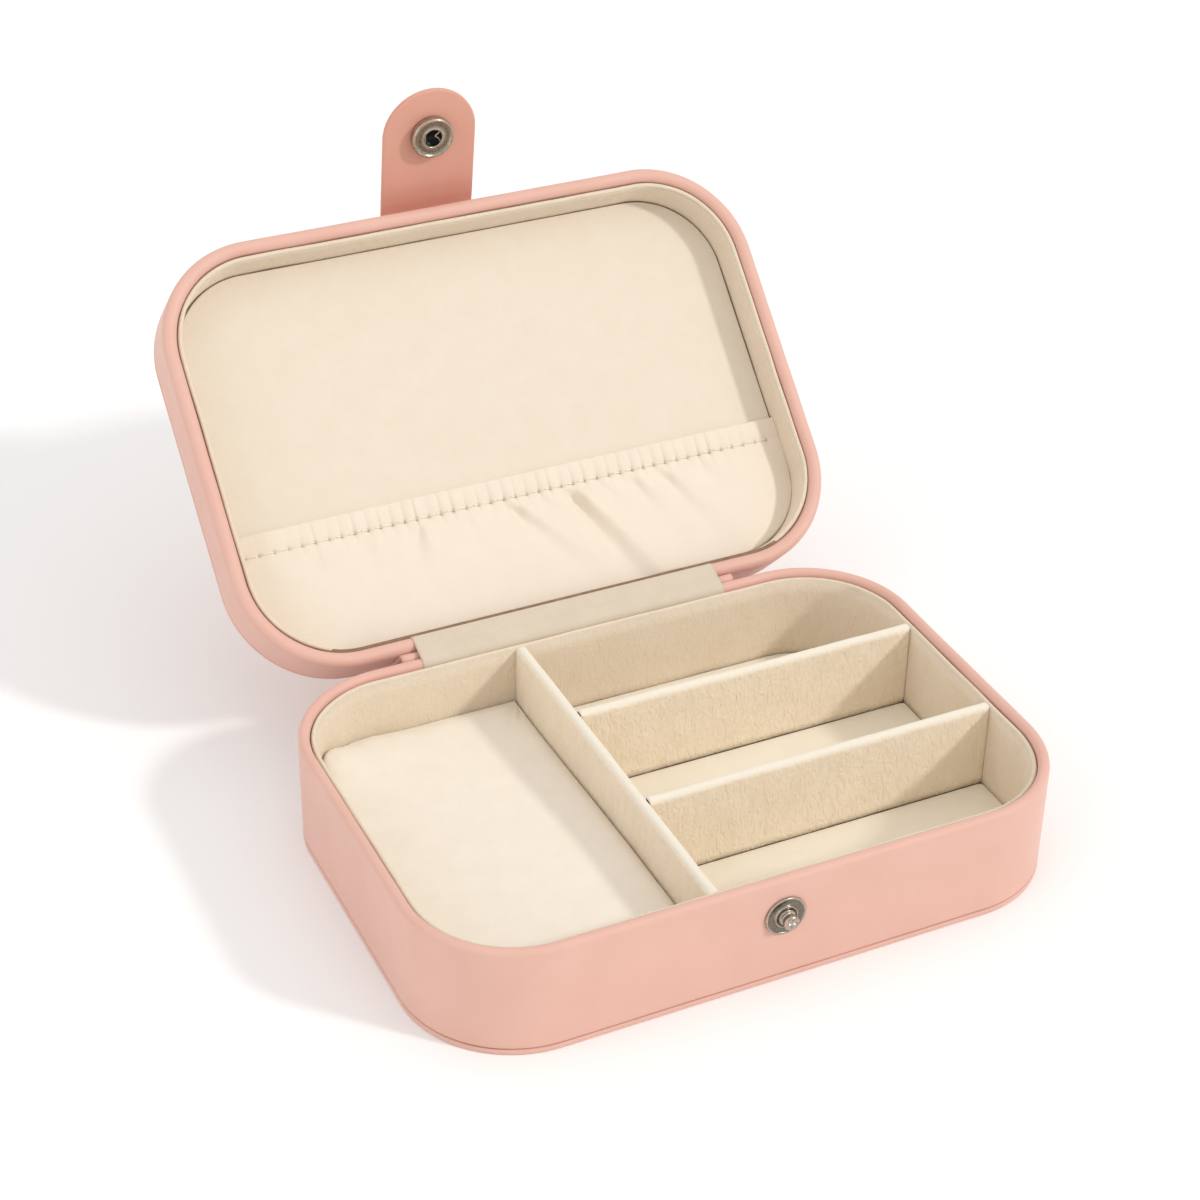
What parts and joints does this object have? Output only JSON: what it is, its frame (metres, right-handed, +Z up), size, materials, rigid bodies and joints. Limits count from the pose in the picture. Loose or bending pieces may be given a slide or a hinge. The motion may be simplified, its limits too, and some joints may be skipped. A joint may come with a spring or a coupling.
{
  "type": "jewelry box",
  "caption": "Hinged travel jewelry box with rounded corners, padded tray, divided compartments, lid pocket and snap strap.",
  "frame": {"origin": "centre of the flat underside of the base", "axes": "+X to the box's right, +Y from the front with the snap to the hinge at the back, +Z up from the surface it stands on"},
  "size_m": [0.165, 0.213, 0.1391],
  "materials": {
    "leatherette": "satin",
    "suede": "matte",
    "pocket": "matte",
    "elastic": "matte",
    "card": "matte",
    "foam": "matte",
    "nickel": "polished"
  },
  "bodies": {
    "base": {"base_bottom_cover": "leatherette", "base_bottom_board": "card", "base_wall_board": "card", "base_wall_cover": "leatherette", "base_liner_card": "card", "base_liner_suede": "suede", "tray_floor_card": "card", "tray_floor_suede": "suede", "pad_foam": "foam", "pad_suede": "suede", "long_divider_card": "card", "long_divider_suede": "suede", "rear_divider_card": "card", "rear_divider_suede": "suede", "front_divider_card": "card", "front_divider_suede": "suede", "snap_stud": "nickel", "stud_rivet": "nickel", "hinge_cover": "leatherette", "hinge_lining": "suede"},
    "lid": {"lid_wall_board": "card", "lid_wall_cover": "leatherette", "lid_top_board": "card", "lid_top_foam": "foam", "lid_top_cover": "leatherette", "lid_liner_card": "card", "lid_liner_suede": "suede", "lid_panel_card": "card", "lid_panel_suede": "suede", "pocket_fabric": "pocket", "pocket_elastic": "elastic", "strap_root": "leatherette", "strap_crease": "leatherette"},
    "strap": {"strap_lining": "leatherette", "strap_stiffener": "card", "strap_outer": "leatherette", "snap_socket": "nickel", "socket_spring": "nickel", "snap_cap": "nickel"}
  },
  "joints": [
    {"name": "lid_hinge", "type": "hinge", "parent": "base", "child": "lid", "pos_m": [0, 0.0579, 0.02985], "axis": [-1, 0, 0], "range_deg": [-136, 0], "deforming": ["hinge_cover", "hinge_lining"]},
    {"name": "strap_fold", "type": "hinge", "parent": "lid", "child": "strap", "pos_m": [0, 0.15146, 0.10442], "axis": [1, 0, 0], "range_deg": [-99, 36], "stiffness_Nm_per_rad": 0.01, "deforming": ["strap_crease"]}
  ]
}
